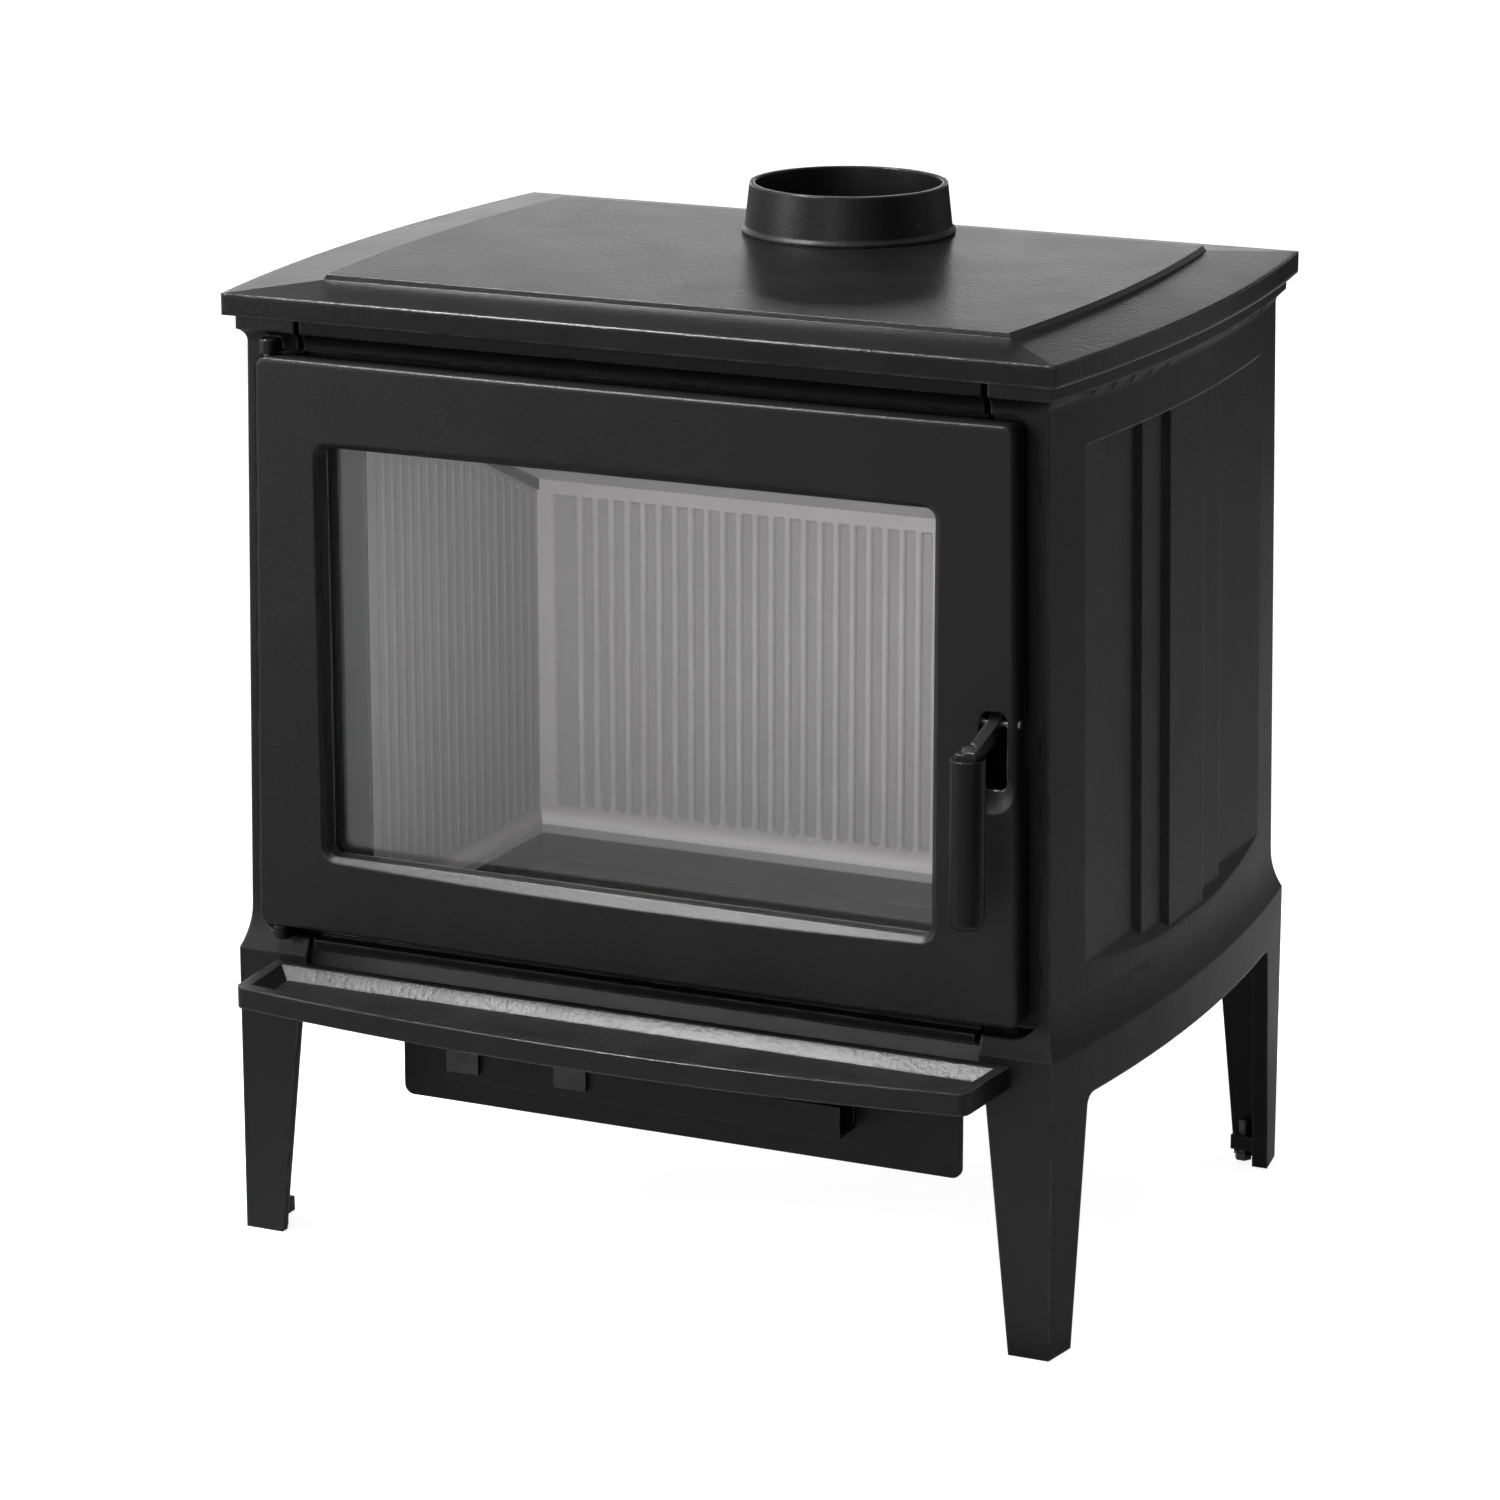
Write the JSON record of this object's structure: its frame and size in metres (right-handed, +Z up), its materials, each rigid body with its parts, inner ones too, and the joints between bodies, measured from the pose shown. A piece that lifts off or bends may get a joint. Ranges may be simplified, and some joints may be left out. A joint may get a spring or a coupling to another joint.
{
  "type": "wood burning stove",
  "caption": "Legged cast iron wood stove with a glazed hinged door, hanging handle, fluted fire bricks, round flue collar on top, ash shelf and sliding air controls.",
  "frame": {"origin": "on the floor under the middle of the whole stove", "axes": "+Z up, -Y out of the door's front, +X towards the handle side"},
  "size_m": [0.727, 0.609, 0.8035],
  "materials": {
    "casting": "satin black stove paint over a fine sand grain",
    "top": "satin dark grey stove paint",
    "door": "satin black stove paint",
    "inner_iron": "bare cast iron, dull",
    "sheet": "black stove paint on sheet steel",
    "grip": "satin black",
    "steel": "bare steel",
    "dark_steel": "blackened steel",
    "tab": "plated steel",
    "brick": "pale vermiculite, matt",
    "rope": "woven glass rope",
    "glass": "clear heat-proof glass"
  },
  "bodies": {
    "stove": {"side_casting_left": "casting", "side_casting_right": "casting", "front_frame": "casting", "front_frame_bolts": "dark_steel", "back_plate": "casting", "back_plate_bolts": "dark_steel", "top_plate": "top", "collar_bolts": "dark_steel", "flue_collar": "casting", "ash_shelf": "casting", "shelf_bolts": "dark_steel", "hearth_basin": "inner_iron", "fire_grate": "inner_iron", "back_brick": "brick", "side_brick_left": "brick", "side_brick_right": "brick", "brick_retainers": "inner_iron", "baffle_plate": "brick", "baffle_supports": "inner_iron", "air_wash_deflector": "sheet", "deflector_screws": "dark_steel", "air_box": "sheet", "air_box_screws": "dark_steel", "ash_pan": "sheet", "air_rail": "sheet", "rail_screws": "dark_steel", "hinge_pin_lower": "steel", "hinge_pin_upper": "steel", "latch_keeper": "steel", "keeper_roller": "steel", "keeper_screws": "dark_steel"},
    "door": {"door_frame": "door", "door_glass": "glass", "glass_gasket": "rope", "door_rope_seal": "rope", "glass_clips": "dark_steel", "glass_clip_screws": "dark_steel", "handle_pivot_pin": "steel"},
    "handle": {"handle_arm": "door", "handle_grip": "grip", "grip_screw": "dark_steel"},
    "primary_air": {"primary_air_slide": "tab"},
    "secondary_air": {"secondary_air_slide": "tab"},
    "foot_front_left": {"levelling_foot_front_left": "steel"},
    "foot_front_right": {"levelling_foot_front_right": "steel"},
    "foot_rear_left": {"levelling_foot_rear_left": "steel"},
    "foot_rear_right": {"levelling_foot_rear_right": "steel"}
  },
  "joints": [
    {"name": "door_hinge", "type": "hinge", "parent": "stove", "child": "door", "pos_m": [-0.304, -0.2075, 0.484], "axis": [0, 0, -1], "range_deg": [0, 105]},
    {"name": "handle_pivot", "type": "hinge", "parent": "door", "child": "handle", "pos_m": [0.29775, -0.2075, 0.488], "axis": [-1, 0, 0], "range_deg": [0, 28]},
    {"name": "primary_air_travel", "type": "slide", "parent": "stove", "child": "primary_air", "axis": [1, 0, 0], "range_m": [0, 0.045]},
    {"name": "secondary_air_travel", "type": "slide", "parent": "stove", "child": "secondary_air", "axis": [1, 0, 0], "range_m": [0, 0.06]},
    {"name": "foot_front_left_travel", "type": "slide", "parent": "stove", "child": "foot_front_left", "axis": [0, 0, -1], "range_m": [0, 0.012]},
    {"name": "foot_front_right_travel", "type": "slide", "parent": "stove", "child": "foot_front_right", "axis": [0, 0, -1], "range_m": [0, 0.012]},
    {"name": "foot_rear_left_travel", "type": "slide", "parent": "stove", "child": "foot_rear_left", "axis": [0, 0, -1], "range_m": [0, 0.012]},
    {"name": "foot_rear_right_travel", "type": "slide", "parent": "stove", "child": "foot_rear_right", "axis": [0, 0, -1], "range_m": [0, 0.012]}
  ]
}
